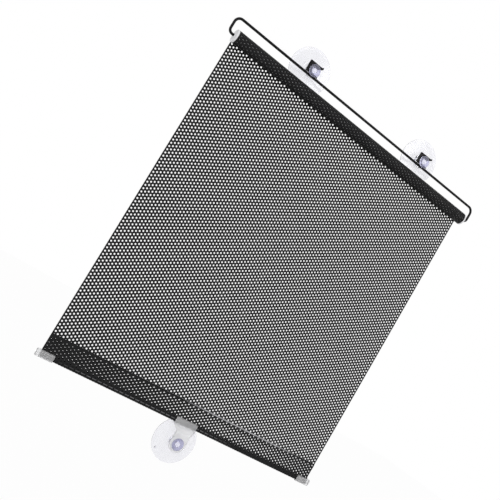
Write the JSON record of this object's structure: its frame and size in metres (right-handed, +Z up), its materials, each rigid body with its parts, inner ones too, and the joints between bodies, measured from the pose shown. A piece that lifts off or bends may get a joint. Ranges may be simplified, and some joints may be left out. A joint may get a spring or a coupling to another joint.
{
  "type": "car side window sunshade",
  "caption": "Roller sunshade for a car side window: wire bracket with suction cups, spring roller, perforated black film with a hem bar, end caps and a clip with a lower cup.",
  "frame": {"origin": "on the glass, midway along the wire bracket, at the height of the upper suction cups' axes", "axes": "+Y out through the glass, +Z up the window, +X to the right along the roller as seen from the cabin"},
  "size_m": [0.399, 0.018, 0.488],
  "materials": {
    "black_paint": "gloss black paint on the steel wire, on the welded tabs and on the hem's bar",
    "black_film": "black perforated film with a satin face",
    "clear_vinyl": "clear soft vinyl with a faint violet tint",
    "frosted_plastic": "frosted translucent plastic",
    "white_plastic": "white moulded plastic",
    "bare_steel": "bare rolled and drawn steel",
    "pale_tape": "double-sided tape"
  },
  "bodies": {
    "bracket": {"wire_bracket": "black_paint", "cup_tab_left": "black_paint", "cup_tab_right": "black_paint", "spring_arbor": "bare_steel", "film_sheet": "black_film"},
    "roller": {"roller_tube": "bare_steel", "film_roll": "black_film", "film_tape": "pale_tape", "end_plug_left": "white_plastic", "end_plug_right": "white_plastic", "spring_anchor": "white_plastic", "torsion_spring": "bare_steel"},
    "hem": {"hem_bar": "black_paint", "film_hem": "black_film", "hem_cap_left": "frosted_plastic", "hem_cap_right": "frosted_plastic", "hem_clip": "frosted_plastic"},
    "cup_left": {"suction_cup_left": "clear_vinyl"},
    "cup_right": {"suction_cup_right": "clear_vinyl"},
    "cup_lower": {"suction_cup_lower": "clear_vinyl"}
  },
  "joints": [
    {"name": "film_draw", "type": "slide", "parent": "bracket", "child": "hem", "axis": [0, 0, 1], "range_m": [0, 0.352], "deforming": ["film_sheet"]},
    {"name": "roller_turn", "type": "hinge", "parent": "bracket", "child": "roller", "pos_m": [0, -0.0102, -0.0258], "axis": [1, 0, 0], "range_deg": [0, 2260]},
    {"name": "cup_turn_left", "type": "hinge", "parent": "bracket", "child": "cup_left", "pos_m": [-0.0915, 0, 0], "axis": [0, 1, 0], "continuous": true},
    {"name": "cup_turn_right", "type": "hinge", "parent": "bracket", "child": "cup_right", "pos_m": [0.0955, 0, 0], "axis": [0, 1, 0], "continuous": true},
    {"name": "cup_turn_lower", "type": "hinge", "parent": "hem", "child": "cup_lower", "pos_m": [0, 0, -0.434], "axis": [0, 1, 0], "continuous": true}
  ],
  "couplings": [
    {"joint": "roller_turn", "follows": "film_draw", "rad_per_m": 111.8}
  ]
}
